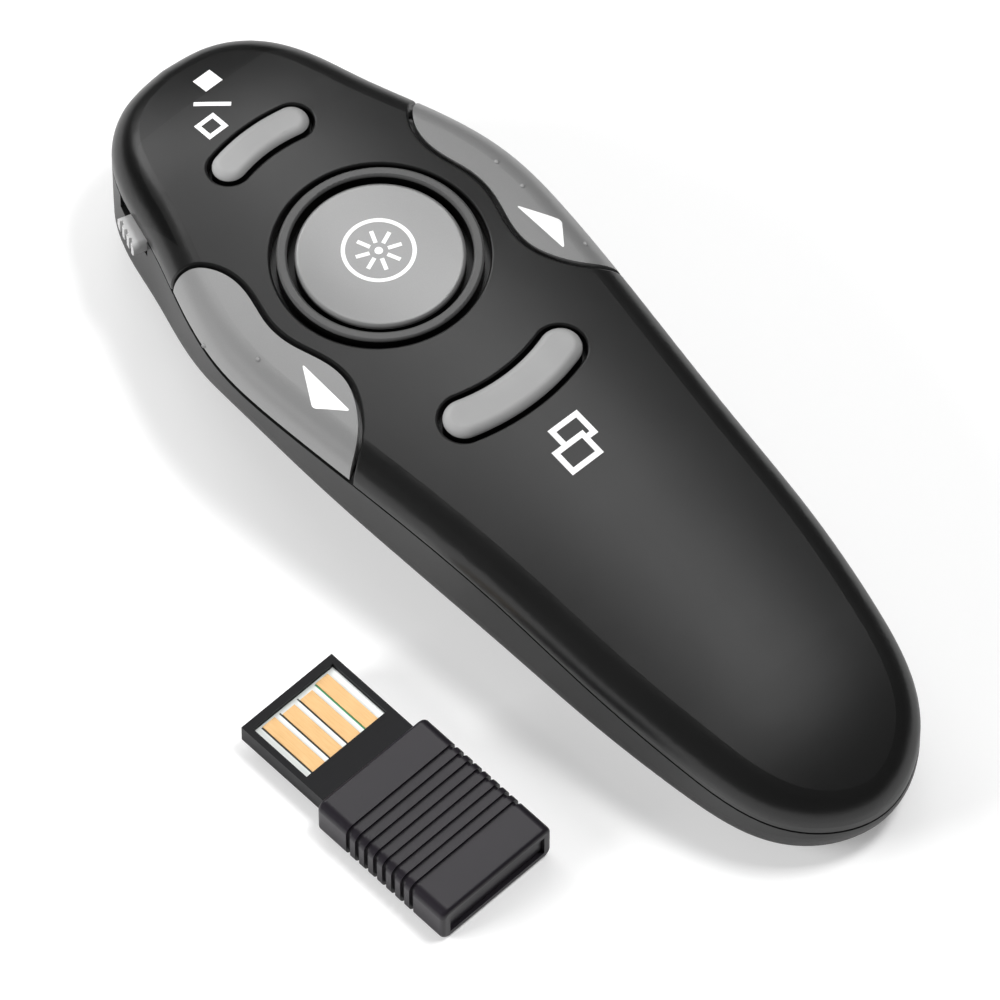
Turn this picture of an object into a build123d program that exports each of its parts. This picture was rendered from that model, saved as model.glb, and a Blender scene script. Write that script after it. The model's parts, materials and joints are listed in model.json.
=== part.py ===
"""Wireless presentation clicker with its USB receiver lying beside it.

Millimetres. +Z is up, +Y points along the clicker to its laser end, and the
origin is on the flat belly, half way along the clicker's length.
"""
import os
from math import asin, atan2, cos, degrees, sin, sqrt

from build123d import *

os.makedirs("parts", exist_ok=True)

# ------------------------------------------------------------------ body form
body_length = 106.0
body_width = 37.9
crest_height = 16.0        # the parting line's highest point above the table
crest_from_head = 35.6     # its distance from the laser end
arch_radius = 250.0        # the parting line is an arc of this radius
crown_rise = 4.5           # ridge of the top above the parting line
crown_radius = 110.0       # crosswise curve of the top
belly_flat = 4.0           # width of the flat strip of the belly
hull_radius = 17.5         # crosswise curve from the flat strip to the sides
hull_turn = 80             # degrees through which that curve rises
top_round = 3.5
hull_round = 5.0
wall = 1.6
tail_bend = 15.0           # length over which the ridge bends down to the tail
tail_bend_radius = 60.0
head_bend = 13.0
head_bend_radius = 56.0
tail_lift = 13.0           # length over which the belly rises to the tail
tail_lift_radius = 56.0
head_lift = 11.0
head_lift_radius = 40.0
overrun = 4.0              # how far cutting solids reach past the body
least_round = 0.3          # smallest rounding inside the casing
upright = 0.02             # a face is upright when its normal rises by less than this
level = 0.9                # an edge is level when it rises by less than this
hairline = 0.02            # distances under this count as nothing
parting_gap = 0.3
lip_height = 1.2           # inner lip of the lower shell, above the parting line
lip_root = 2.0
lip_thickness = 1.0
fit_gap = 0.1              # between pieces that are pushed together
slide_gap = 0.25           # between pieces that slide past each other

# Right half of the plan outline, as shares of half the width and half the length
outline_shape = [
    (0.0, 1.0), (0.296, 0.981), (0.512, 0.923), (0.639, 0.840), (0.734, 0.725),
    (0.887, 0.570), (0.987, 0.425), (0.982, 0.258), (0.908, 0.026), (0.813, -0.283),
    (0.760, -0.517), (0.675, -0.717), (0.485, -0.906), (0.264, -0.974), (0.0, -1.0),
]

# ----------------------------------------------------------- buttons on the top
ring_from_head = 33.1
laser_button_radius = 8.35
laser_button_dish = 0.45   # how far its middle lies below its edge
bezel_inner_radius = 9.08
bezel_outer_radius = 10.13
bezel_hole_radius = 10.74
bezel_depth = 2.0
bezel_wall = 0.23
bezel_flange_radius = 11.5
bezel_flange_depth = 2.4     # top of the flange below the bezel's face
bezel_round = 0.25
laser_button_sink = 0.15     # its edge below the bezel's face
laser_button_round = 0.35
button_gap = 0.45          # black gap round every other button
hole_round = 0.25          # rounding of the holes' upper edges
button_rise = 0.55         # arc buttons above the ridge
upper_arc_radius = 18.2
upper_arc_half_angle = 12.5
upper_button_width = 3.6
lower_arc_radius = 20.3
lower_arc_half_angle = 17.7
lower_button_width = 4.3
arc_button_round = 0.9
flange_reach = 0.9         # retaining flange beyond a button's own edge
flange_thickness = 0.8
flange_gap = 0.2
wing_skin = 1.9            # thickness of the two side buttons
wing_gap = 0.35            # a side button's lower edge above the parting line
button_travel = 0.5

# Inner edge of the right side button, measured from the laser button's centre
wing_edge = [(16.6, 12.7), (13.3, 11.1), (11.9, 7.1), (13.0, 0.1), (11.4, -7.7), (13.3, -12.5), (18.0, -16.1)]
wing_edge_steps = 10

# -------------------------------------------------------------- circuit board
board_bottom = 13.0
board_thickness = 1.0
board_inset = 3.0
board_rear_from_ring = 26.9
board_front_from_head = 10.0
switch_size = 6.0
switch_height = 1.8
switch_cover_thickness = 0.15
plunger_radius = 1.6
plunger_top = 16.9
plunger_length = 2.1
chip_from_ring = 9.3
chip_size = 4.0
chip_height = 0.9
crystal_x = 5.0
crystal_size = (3.2, 2.5, 0.8)
crystal_from_ring = 11.0     # towards the tail
component_size = (0.6, 1.0, 0.5)
component_gap = 2.0
component_pitch = 1.6
component_rows = 3
wing_switch = (11.8, -7.9)   # from the laser button's centre
switch_floor = 0.2
plunger_gap = 0.15
screw_shank_radius = 0.95
screw_head_radius = 1.8
screw_head_height = 1.3
boss_radius = 2.2
board_screw_length = 4.0
rear_board_screw = (10.5, -23.9)
front_board_screw = (9.0, 13.1)

# ---------------------------------------------------------- battery and cover
battery_radius = 5.25
battery_can_length = 43.5
battery_nub_radius = 1.9
battery_nub_length = 1.0
battery_axis_z = 7.25
spring_length = 4.1
spring_radius = 3.0
spring_wire_radius = 0.35
spring_turns = 3
contact_thickness = 0.4
contact_width = 8.0
rear_wall_from_tail = 12.8  # face of the wall behind the spring
bulkhead = 1.1
cover_height = 2.9
ledge_thickness = 1.2
battery_opening = 11.9      # width of the opening over the cover
hook_length = 5.0
hook_stem = 0.75
hook_lip = 1.0
hook_lip_height = 0.85
cover_travel = 7.0
hooks_from_rear_wall = [12.2, 37.2]
ribs_from_rear_wall = [22.2, 45.0]
rib_thickness = 1.2
rib_reach = 3.0
battery_round = 0.4
lead_radius = 0.5
lead_x = 7.6
lead_drop = 1.4
lead_bend = 2.0
tab_width = 3.0
grip_count = 5
grip_width = 10.0
grip_from_front = 6.0
grip_groove = 0.8
grip_pitch = 1.8
grip_depth = 0.4

# ----------------------------------------------------------------- laser end
laser_axis_z = 9.5
barrel_radius = 3.0
barrel_length = 8.2
barrel_bore_radius = 2.3
window_radius = 2.5
window_thickness = 0.6
window_recess = 0.8
aperture_radius = 2.0
barrel_bore_depth = 6.0
diode_radius = 1.65
diode_length = 3.0
lens_depth = 1.6
lens_thickness = 0.9
cradle_half_width = 4.0
cradle_thickness = 1.0
cradles_from_head = [3.5, 8.5]
head_screw_x = 6.4
head_screw_from_head = 7.0
head_screw_length = 9.5
head_screw_seat = 6.0       # underside of its head, which points to the table
tail_screw_from_tail = 8.0
tail_screw_length = 5.2
tail_screw_seat = 5.0
head_clearance = 0.2        # round a screw's head in its recess
boss_split_tail = 6.9
boss_split_head = 12.5

# --------------------------------------------------------------- power switch
power_from_head = 11.0
power_below_parting = 1.5   # middle of the knob below the parting line
power_knob_length = 4.0
power_knob_height = 1.8
power_knob_proud = 1.2
power_travel = 2.0
power_knob_round = 0.6
knob_root = 1.2             # part of the knob behind the wall
power_knob_plate = 0.6       # keeps the knob inside the wall
power_body_length = 6.6
power_body_height = 3.4
power_body_depth = 3.2
power_lug_length = 7.2      # lugs on which it rests on the board
power_lug_thickness = 0.3
power_ridges = 3
power_ridge_pitch = 1.1
power_ridge_depth = 0.3

# ------------------------------------------------------------------- receiver
plug_width = 12.0
plug_thickness = 2.2
plug_length = 11.8
receiver_width = 14.5
receiver_length = 17.5
receiver_height = 4.8
receiver_wall = 1.0
receiver_round = 1.0
receiver_end_round = 0.5
receiver_cap_sink = 0.4
receiver_chip_height = 0.7
receiver_center_x = -32.3
receiver_front_y = -15.4
receiver_turn = 2.5         # degrees by which it lies askew beside the clicker
groove_count = 8
groove_pitch = 1.25
groove_width = 0.55
groove_depth = 0.35
groove_first = 4.1          # first groove behind the body's front
tray_floor = 0.7
tray_wall = 0.7
tray_front = 0.9            # rim across the plug's tip
tray_bar = 3.4              # bar across the tray where it leaves the body
tray_root = 4.0             # part of the plug's tray inside the body
plug_board_thickness = 1.0
plug_board_length = 24.0
pad_width = 1.6
pad_count = 4
pad_pitch = 2.35
pad_thickness = 0.12
pad_from_body = 3.5
outer_pad_length = 7.1
inner_pad_length = 6.8
bay_clearance = 0.25        # receiver bay, round the receiver
bay_wall = 1.0


def parting_z(y, offset=0.0):
    """Height of the parting line's arc, or of an arc offset from it, at y."""
    return bend_axis_z + sqrt((arch_radius + offset) ** 2 - (y - crest_y) ** 2)


def ridge_z(y):
    return parting_z(y, crown_rise)


def crown_z(x, y):
    """Height of the top's outer surface, away from its rounded rim."""
    return ridge_z(y) - crown_radius + sqrt(crown_radius**2 - x**2)


# ----------------------------------------------------- places that follow from them
head_y = body_length / 2
tail_y = -body_length / 2
crest_y = head_y - crest_from_head
bend_axis_z = crest_height - arch_radius
ring_y = head_y - ring_from_head
board_top = board_bottom + board_thickness
rear_wall_y = tail_y + rear_wall_from_tail + bulkhead
spring_start_y = rear_wall_y + contact_thickness
battery_rear_y = spring_start_y + spring_length
battery_front_y = battery_rear_y + battery_can_length + battery_nub_length
front_wall_y = battery_front_y + contact_thickness + fit_gap / 2
cover_front_y = front_wall_y - slide_gap
ledge_bottom = cover_height + fit_gap
ledge_top = ledge_bottom + ledge_thickness
flat_half = belly_flat / 2
tall = crest_height + crown_rise + overrun
power_y = head_y - power_from_head
power_axis_z = parting_z(power_y) - power_below_parting
stem_outer_x = battery_opening / 2 - fit_gap
bay_width = receiver_width + 2 * bay_clearance
bay_length = plug_length + receiver_length + 2 * bay_clearance
bay_height = receiver_height + 3 * bay_clearance
bay_rear_y = front_wall_y + bulkhead
bay_front_y = bay_rear_y + bay_length
seated = (Align.CENTER, Align.CENTER, Align.MIN)
hanging = (Align.CENTER, Align.CENTER, Align.MAX)
contact_top = battery_axis_z + contact_width / 2
recess_radius = screw_head_radius + head_clearance
barrel_front_y = head_y - wall - slide_gap
window_seat = head_y - window_recess - barrel_front_y
laser_plane = Plane(origin=(0, barrel_front_y, laser_axis_z), x_dir=(1, 0, 0), z_dir=(0, 1, 0))
battery_plane = Plane(origin=(0, battery_rear_y, battery_axis_z), x_dir=(1, 0, 0), z_dir=(0, 1, 0))
bezel_top = ridge_z(ring_y)
bezel_low = bezel_top - bezel_depth
laser_button_top = bezel_top - laser_button_sink
button_axis = Axis((0, ring_y, 0), (0, 0, 1))
button_plane = Plane(origin=(0, ring_y, 0), x_dir=(1, 0, 0), z_dir=(0, -1, 0))


def plan(inset):
    """The plan outline as a flat face, drawn in from the outer wall by inset."""
    half_width = body_width / 2 - inset
    half_length = body_length / 2 - inset
    right = [(x * half_width, y * half_length) for x, y in outline_shape]
    left = [(-x, y) for x, y in reversed(right[1:-1])]
    with BuildSketch() as outline:
        with BuildLine():
            Spline(*(right + left), periodic=True)
        make_face()
    return outline.sketch


def section_plane(path):
    """Plane across the start of a lengthwise path, with its local y upwards."""
    along = path % 0
    return Plane(origin=path @ 0, x_dir=(1, 0, 0), z_dir=along if along.Y < 0 else -along)


def above_crown(inset):
    """Everything above the top surface, which is swept along three tangent arcs."""
    radius = arch_radius + crown_rise
    crest = (crest_y, crest_height + crown_rise)
    tail_turn = degrees(asin((crest_y - tail_y - tail_bend) / radius))
    head_turn = degrees(asin((head_y - head_bend - crest_y) / radius))
    with BuildLine(Plane.YZ) as ridge:
        to_tail = JernArc(crest, (-1, 0), radius, tail_turn)
        JernArc(to_tail @ 1, to_tail % 1, tail_bend_radius, degrees((tail_bend + overrun) / tail_bend_radius))
        to_head = JernArc(crest, (1, 0), radius, -head_turn)
        JernArc(to_head @ 1, to_head % 1, head_bend_radius, -degrees((head_bend + overrun) / head_bend_radius))
    path = ridge.wires()[0]
    reach = body_width / 2 + overrun
    low = crown_radius - sqrt(crown_radius**2 - reach**2) + inset
    with BuildSketch(section_plane(path)) as section:
        with BuildLine():
            ThreePointArc((-reach, -low), (0, -inset), (reach, -low))
            Polyline((reach, -low), (reach, tall), (-reach, tall), (-reach, -low))
        make_face()
    with BuildPart() as above:
        sweep(sections=section.sketch, path=path)
    return above.part


def below_belly(inset):
    """Everything below the underside, which is flat along the middle and lifts at both ends."""
    with BuildLine(Plane.YZ) as keel:
        middle = Line((tail_y + tail_lift, 0), (head_y - head_lift, 0))
        JernArc(middle @ 0, (-1, 0), tail_lift_radius, -degrees((tail_lift + overrun) / tail_lift_radius))
        JernArc(middle @ 1, (1, 0), head_lift_radius, degrees((head_lift + overrun) / head_lift_radius))
    path = keel.wires()[0]
    curve = hull_radius - inset
    with BuildSketch(section_plane(path)) as section:
        with BuildLine():
            Line((-flat_half, inset), (flat_half, inset))
            right = CenterArc((flat_half, hull_radius), curve, -90, hull_turn)
            left = CenterArc((-flat_half, hull_radius), curve, 270 - hull_turn, hull_turn)
            side_x = (right @ 1).X + overrun
            side_z = (right @ 1).Y
            Polyline(right @ 1, (side_x, side_z), (side_x, -tall), (-side_x, -tall), (-side_x, side_z), left @ 0)
        make_face()
    with BuildPart() as below:
        sweep(sections=section.sketch, path=path)
    return below.part


def rim_edges(part, upper):
    """The edges round the top, or round the belly, of the upright outer wall."""
    edges = []
    for face in part.faces():
        if abs(face.normal_at(face.center()).Z) < upright:
            for edge in face.edges():
                center = edge.center()
                if abs(edge.tangent_at(0.5).Z) < level and (center.Z > parting_z(center.Y) - lip_root) == upper:
                    edges.append(edge)
    return edges


def hole_edges(part):
    """Where the button holes break through the crown, without the middle of a cut half."""
    edges = []
    for face in part.faces():
        if abs(face.normal_at(face.center()).Z) < upright:
            for edge in face.edges():
                middle = edge.position_at(0.5)
                if abs(middle.Z - crown_z(middle.X, middle.Y)) < hairline < abs(middle.X):
                    edges.append(edge)
    return edges


def body_form(inset):
    """The solid that the closed casing fills, drawn in by inset on every side."""
    crown = above_crown(inset)
    belly = below_belly(inset)
    outline = plan(inset)
    with BuildPart() as form:
        with BuildSketch(Plane.XY.offset(-overrun)):
            add(outline)
        extrude(amount=tall + overrun)
        add(crown, mode=Mode.SUBTRACT)
        add(belly, mode=Mode.SUBTRACT)
        fillet(rim_edges(form.part, upper=False), max(hull_round - inset, least_round))
        fillet(rim_edges(form.part, upper=True), max(top_round - inset, least_round))
    return form.part


def under_arch(offset):
    """Everything below the parting arc, raised by offset."""
    with BuildPart() as under:
        with Locations((0, crest_y, bend_axis_z)):
            Cylinder(arch_radius + offset, body_width + 2 * overrun, rotation=(0, 90, 0))
    return under.part


def wing_region(grow):
    """Plan area of the right side button, its inner edge moved towards the middle by grow."""
    edge = Spline(*[(x, ring_y + y) for x, y in wing_edge])
    steps = [i / wing_edge_steps for i in range(wing_edge_steps + 1)]
    points = [edge @ u + grow * Vector((edge % u).Y, -(edge % u).X) for u in steps]
    outer_x = body_width / 2 + 2 * overrun
    with BuildSketch() as region:
        with BuildLine():
            Spline(*points)
            Polyline(points[-1], (outer_x, points[-1].Y), (outer_x, points[0].Y), points[0])
        make_face()
    return region.sketch


def arc_slot(radius, half_angle, width, side, grow=0.0):
    """Plan area of an arc button round the laser button; side is 1 to the head, -1 to the tail."""
    with BuildSketch() as slot:
        with BuildLine(mode=Mode.PRIVATE) as middle:
            CenterArc((0, ring_y), radius, side * 90 - half_angle, 2 * half_angle)
        SlotArc(middle.edge(), width + 2 * grow)
    return slot.sketch


def half_width_at(y, inset=0.0):
    """Half the plan outline's width at y."""
    strip = Pos(0, y) * Rectangle(2 * body_width, fit_gap)
    return (plan(inset) & strip).bounding_box().max.X


wall_x = half_width_at(power_y)
wall_turn = atan2(half_width_at(power_y - power_knob_length) - half_width_at(power_y + power_knob_length),
                  2 * power_knob_length)
power_plane = Plane(
    origin=(-wall_x, power_y, power_axis_z),
    x_dir=(sin(wall_turn), cos(wall_turn), 0),
    z_dir=(-cos(wall_turn), sin(wall_turn), 0),
)


def switch_area(length, reach):
    """Plan area behind the power switch's slot, from the casing's outside inwards."""
    with BuildSketch(Plane(origin=(-wall_x, power_y, 0), x_dir=power_plane.x_dir, z_dir=(0, 0, 1))) as area:
        Rectangle(length, reach, align=(Align.CENTER, Align.MAX))
    return area.sketch


power_slot_length = power_knob_length + power_travel + 2 * slide_gap
power_plate_length = power_knob_length + power_travel
power_plate_height = power_knob_height + 2 * slide_gap + power_knob_plate
power_body_front = wall + knob_root + slide_gap
power_body_back = power_body_front + power_body_depth

outer_form = body_form(0.0)
inner_form = body_form(wall)
lip_form = body_form(wall + fit_gap)
lip_root_form = body_form(wall - fit_gap)
wing_inner_form = body_form(wing_skin)
flange_form = body_form(wall + flange_gap)
flange_inner_form = body_form(wall + flange_gap + flange_thickness)
top_arch = under_arch(0.0)
bottom_arch = under_arch(-parting_gap)
lip_arch = under_arch(lip_height)
lip_root_arch = under_arch(-lip_root)
wing_arch = under_arch(wing_gap)
wing_hole = wing_region(0.0)
wing_outline = wing_region(-button_gap)
wing_flange = wing_region(flange_reach)
wing_clearance = wing_region(flange_reach + slide_gap)
arc_slots = {
    "upper": (upper_arc_radius, upper_arc_half_angle, upper_button_width, 1),
    "lower": (lower_arc_radius, lower_arc_half_angle, lower_button_width, -1),
}
arc_y = {"upper": ring_y + upper_arc_radius, "lower": ring_y - lower_arc_radius}
switches = {
    "laser": (0, ring_y),
    "upper": (0, arc_y["upper"]),
    "lower": (0, arc_y["lower"]),
    "previous": (-wing_switch[0], ring_y + wing_switch[1]),
    "next": (wing_switch[0], ring_y + wing_switch[1]),
}
board_screws_at = [(side * x, ring_y + y) for x, y in (rear_board_screw, front_board_screw) for side in (-1, 1)]
head_screws_at = [(side * head_screw_x, head_y - head_screw_from_head) for side in (-1, 1)]
tail_screw_at = (0, tail_y + tail_screw_from_tail)


def at_height(places, z):
    """The same places in plan, all at height z."""
    return [(x, y, z) for x, y in places]


def save(name, piece):
    """Label a finished piece and write it under its own name."""
    piece.part.label = name
    export_step(piece.part, "parts/" + name + ".step")


def box_between(low, high, mode=Mode.ADD):
    """A box from its lowest to its highest corner."""
    size = [top - bottom for bottom, top in zip(low, high)]
    with Locations(tuple((bottom + top) / 2 for bottom, top in zip(low, high))):
        Box(*size, mode=mode)


# ------------------------------------------------------------------- top shell
with BuildPart() as top_bosses:
    for places, low in (
        (board_screws_at, board_top),
        (head_screws_at, boss_split_head + fit_gap),
        ([tail_screw_at], boss_split_tail + fit_gap),
    ):
        with Locations(*at_height(places, low)):
            Cylinder(boss_radius, tall, align=seated)
    add(lip_root_form, mode=Mode.INTERSECT)

with BuildPart() as top_shell:
    add(outer_form)
    add(inner_form, mode=Mode.SUBTRACT)
    add(top_arch, mode=Mode.SUBTRACT)
    add(top_bosses.part)
    with BuildSketch():
        with Locations((0, ring_y)):
            Circle(bezel_hole_radius)
        for slot in arc_slots.values():
            add(arc_slot(*slot, grow=button_gap))
        add(wing_hole)
        mirror(wing_hole, about=Plane.YZ)
    extrude(amount=tall, mode=Mode.SUBTRACT)
    with Locations(*at_height(board_screws_at, board_bottom)):
        Cylinder(screw_shank_radius, board_screw_length, align=seated, mode=Mode.SUBTRACT)
    with Locations(*at_height(head_screws_at, head_screw_seat)):
        Cylinder(screw_shank_radius, head_screw_length, align=seated, mode=Mode.SUBTRACT)
    with Locations((*tail_screw_at, tail_screw_seat)):
        Cylinder(screw_shank_radius, tail_screw_length, align=seated, mode=Mode.SUBTRACT)
    # the left half is rounded, and the right half is its mirror image
    split(bisect_by=Plane.YZ, keep=Keep.BOTTOM)
    fillet(hole_edges(top_shell.part), hole_round)
    mirror(about=Plane.YZ)
save("top_shell", top_shell)

# ---------------------------------------------------------------- bottom shell
lip_inside = plan(wall + fit_gap + lip_thickness)
with BuildSketch() as breaks:
    add(switch_area(power_plate_length + power_travel + 2 * slide_gap, power_body_back))
    with Locations(*head_screws_at):
        Circle(boss_radius + slide_gap)
lip_breaks = breaks.sketch

with BuildPart() as lip:
    add(lip_form)
    add(lip_arch, mode=Mode.INTERSECT)
    add(bottom_arch, mode=Mode.SUBTRACT)
    with BuildSketch():
        add(lip_inside)
        add(wing_clearance)
        mirror(wing_clearance, about=Plane.YZ)
        add(lip_breaks)
    extrude(amount=tall, mode=Mode.SUBTRACT)

with BuildPart() as lip_base:
    with BuildSketch():
        add(plan(wall - fit_gap))
        add(lip_inside, mode=Mode.SUBTRACT)
        add(lip_breaks, mode=Mode.SUBTRACT)
    extrude(amount=tall)
    add(bottom_arch, mode=Mode.INTERSECT)
    add(lip_root_arch, mode=Mode.SUBTRACT)

with BuildPart() as fittings:
    # ledge over the battery cover's edges
    with BuildSketch(Plane.XY.offset(ledge_bottom)):
        add(plan(wall - fit_gap))
        with Locations((0, front_wall_y)):
            Rectangle(body_width, body_length, align=(Align.CENTER, Align.MIN), mode=Mode.SUBTRACT)
        with Locations((0, rear_wall_y)):
            Rectangle(
                battery_opening, battery_front_y - rear_wall_y + contact_thickness + fit_gap,
                align=(Align.CENTER, Align.MIN), mode=Mode.SUBTRACT,
            )
    extrude(amount=ledge_thickness)
    # walls at the two ends of the battery
    rear_half = battery_opening / 2
    box_between((-rear_half, rear_wall_y - bulkhead, ledge_bottom), (rear_half, rear_wall_y, contact_top))
    bay_half = bay_width / 2 + bay_wall
    box_between((-bay_half, front_wall_y, 0), (bay_half, bay_rear_y, contact_top))
    # roof and walls of the receiver bay
    box_between((-bay_half, front_wall_y, 0), (bay_half, bay_front_y + bay_wall, bay_height + bay_wall))
    # ribs beside the battery
    for from_wall in ribs_from_rear_wall:
        rib_y = rear_wall_y + from_wall
        for side in (-1, 1):
            inner = side * (battery_radius + slide_gap)
            outer = side * (battery_radius + slide_gap + rib_reach)
            box_between(
                (min(inner, outer), rib_y, ledge_top), (max(inner, outer), rib_y + rib_thickness, battery_axis_z)
            )
    # screw bosses and the cradle of the laser barrel
    with Locations(*at_height(head_screws_at, 0)):
        Cylinder(recess_radius + bay_wall, head_screw_seat + bay_wall, align=seated)
        Cylinder(boss_radius, boss_split_head, align=seated)
    with Locations((*tail_screw_at, ledge_bottom)):
        Cylinder(recess_radius + bay_wall, boss_split_tail - ledge_bottom, align=seated)
    for from_head in cradles_from_head:
        cradle_y = head_y - from_head
        box_between(
            (-cradle_half_width, cradle_y - cradle_thickness, 0), (cradle_half_width, cradle_y, laser_axis_z)
        )
    add(lip_root_form, mode=Mode.INTERSECT)

with BuildPart() as bottom_shell:
    add(outer_form)
    add(bottom_arch, mode=Mode.INTERSECT)
    add(inner_form, mode=Mode.SUBTRACT)
    box_between(
        (-body_width, tail_y - overrun, -overrun), (body_width, front_wall_y, ledge_bottom), mode=Mode.SUBTRACT
    )
    add(lip_base.part)
    add(lip.part)
    add(fittings.part)
    # receiver bay
    box_between(
        (-bay_width / 2, bay_rear_y, -overrun), (bay_width / 2, bay_front_y, bay_height), mode=Mode.SUBTRACT
    )
    # notches that let the cover's hooks out
    for from_wall in hooks_from_rear_wall:
        notch_y = rear_wall_y + from_wall - cover_travel
        notch_x = stem_outer_x + hook_lip + slide_gap
        box_between(
            (-notch_x, notch_y - slide_gap, ledge_bottom - fit_gap),
            (notch_x, notch_y + hook_length + slide_gap, ledge_top + fit_gap), mode=Mode.SUBTRACT,
        )
    # screw holes and recesses
    with Locations(*at_height(head_screws_at, 0)):
        Cylinder(screw_shank_radius + fit_gap, tall, align=seated, mode=Mode.SUBTRACT)
    with Locations(*at_height(head_screws_at, head_screw_seat)):
        Cylinder(recess_radius, tall, align=hanging, mode=Mode.SUBTRACT)
    with Locations((*tail_screw_at, 0)):
        Cylinder(screw_shank_radius + fit_gap, tall, align=seated, mode=Mode.SUBTRACT)
    with Locations((*tail_screw_at, tail_screw_seat)):
        Cylinder(recess_radius, tall, align=hanging, mode=Mode.SUBTRACT)
    # barrel seat, laser aperture and window recess
    with BuildSketch(laser_plane):
        Circle(barrel_radius + fit_gap / 2)
    extrude(amount=-barrel_length, mode=Mode.SUBTRACT)
    with BuildSketch(laser_plane):
        Circle(aperture_radius)
    extrude(amount=overrun, mode=Mode.SUBTRACT)
    with BuildSketch(laser_plane.offset(window_seat)):
        Circle(window_radius + fit_gap / 2)
    extrude(amount=overrun, mode=Mode.SUBTRACT)
    # slot of the power switch, open to the top shell
    with BuildSketch(power_plane):
        with Locations((0, power_knob_height / 2 + slide_gap)):
            Rectangle(power_slot_length, power_knob_height + power_below_parting, align=(Align.CENTER, Align.MAX))
    extrude(amount=wall + overrun / 2, both=True, mode=Mode.SUBTRACT)
save("bottom_shell", bottom_shell)

# --------------------------------------------------------------- battery cover
with BuildPart() as battery_cover:
    add(outer_form)
    box_between(
        (-body_width, tail_y - overrun, -overrun), (body_width, cover_front_y, cover_height), mode=Mode.INTERSECT
    )
    add(inner_form, mode=Mode.SUBTRACT)
    for from_wall in hooks_from_rear_wall:
        hook_y = rear_wall_y + from_wall
        for side in (-1, 1):
            stem = sorted((side * (stem_outer_x - hook_stem), side * stem_outer_x))
            lip_x = sorted((side * (stem_outer_x - hook_stem), side * (stem_outer_x + hook_lip)))
            lip_low = ledge_top + fit_gap
            box_between((stem[0], hook_y, wall - fit_gap), (stem[1], hook_y + hook_length, lip_low))
            box_between((lip_x[0], hook_y, lip_low), (lip_x[1], hook_y + hook_length, lip_low + hook_lip_height))
    for i in range(grip_count):
        groove_y = cover_front_y - grip_from_front - i * grip_pitch
        box_between(
            (-grip_width / 2, groove_y, -overrun), (grip_width / 2, groove_y + grip_groove, grip_depth),
            mode=Mode.SUBTRACT,
        )
save("battery_cover", battery_cover)

# --------------------------------------------------------- buttons on the top
with BuildPart() as laser_button:
    stem_top = bezel_low - flange_gap
    flange_low = stem_top - flange_thickness
    with BuildSketch(button_plane):
        with BuildLine():
            Polyline(
                (0, laser_button_top - laser_button_dish), (0, plunger_top), (plunger_radius, plunger_top),
                (plunger_radius, flange_low), (bezel_outer_radius - bezel_wall - slide_gap, flange_low),
                (bezel_outer_radius - bezel_wall - slide_gap, stem_top), (laser_button_radius, stem_top),
                (laser_button_radius, laser_button_top),
            )
            dish_radius = (laser_button_radius**2 + laser_button_dish**2) / (2 * laser_button_dish)
            dish_turn = degrees(asin(laser_button_radius / dish_radius))
            CenterArc((0, laser_button_top - laser_button_dish + dish_radius), dish_radius, -90, dish_turn)
        make_face()
    revolve(axis=button_axis)
    fillet(laser_button.edges().filter_by(GeomType.CIRCLE).group_by(Axis.Z)[-1], laser_button_round)
save("laser_button", laser_button)

with BuildPart() as button_bezel:
    bezel_flange_top = bezel_top - bezel_flange_depth
    bezel_flange_low = bezel_flange_top - flange_thickness
    with BuildSketch(button_plane):
        with BuildLine():
            Polyline(
                (bezel_inner_radius, bezel_low), (bezel_inner_radius, bezel_top), (bezel_outer_radius, bezel_top),
                (bezel_outer_radius, bezel_flange_top), (bezel_flange_radius, bezel_flange_top),
                (bezel_flange_radius, bezel_flange_low), (bezel_outer_radius - bezel_wall, bezel_flange_low),
                (bezel_outer_radius - bezel_wall, bezel_low), close=True,
            )
        make_face()
    revolve(axis=button_axis)
    fillet(button_bezel.edges().filter_by(GeomType.CIRCLE).group_by(Axis.Z)[-1], bezel_round)
save("button_bezel", button_bezel)

for name, slot in arc_slots.items():
    low_z = ridge_z(arc_y[name]) - wall - flange_gap - flange_thickness
    cap_height = ridge_z(arc_y[name]) + button_rise - low_z
    cap_outline = arc_slot(*slot)
    flange_outline = arc_slot(*slot, grow=button_gap + flange_reach)
    with BuildPart() as arc_button:
        with BuildSketch(Plane.XY.offset(low_z)):
            add(cap_outline)
        extrude(amount=cap_height)
        fillet(arc_button.faces().sort_by(Axis.Z)[-1].edges(), arc_button_round)
        with Locations((0, arc_y[name], plunger_top)):
            Cylinder(plunger_radius, low_z + flange_thickness - plunger_top, align=seated)
    with BuildPart() as arc_flange:
        add(flange_form)
        add(flange_inner_form, mode=Mode.SUBTRACT)
        extrude(flange_outline, amount=tall, mode=Mode.INTERSECT)
        add(under_arch(0.0), mode=Mode.SUBTRACT)
    with BuildPart() as whole_button:
        add(arc_button.part)
        add(arc_flange.part)
    save({"upper": "black_screen_button", "lower": "window_button"}[name], whole_button)

wing_x, wing_y = switches["next"]
wing_boss_top = crown_z(wing_x, wing_y) - wall - flange_gap - flange_thickness / 2
with BuildPart() as wing_lip:
    add(flange_form)
    add(flange_inner_form, mode=Mode.SUBTRACT)
    extrude(wing_flange, amount=tall, mode=Mode.INTERSECT)
    add(wing_arch, mode=Mode.SUBTRACT)

with BuildPart() as next_button:
    add(outer_form)
    add(wing_inner_form, mode=Mode.SUBTRACT)
    extrude(wing_outline, amount=tall, mode=Mode.INTERSECT)
    add(wing_arch, mode=Mode.SUBTRACT)
    add(wing_lip.part)
    with Locations((wing_x, wing_y, plunger_top)):
        Cylinder(plunger_radius, wing_boss_top - plunger_top, align=seated)
save("next_button", next_button)

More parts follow.
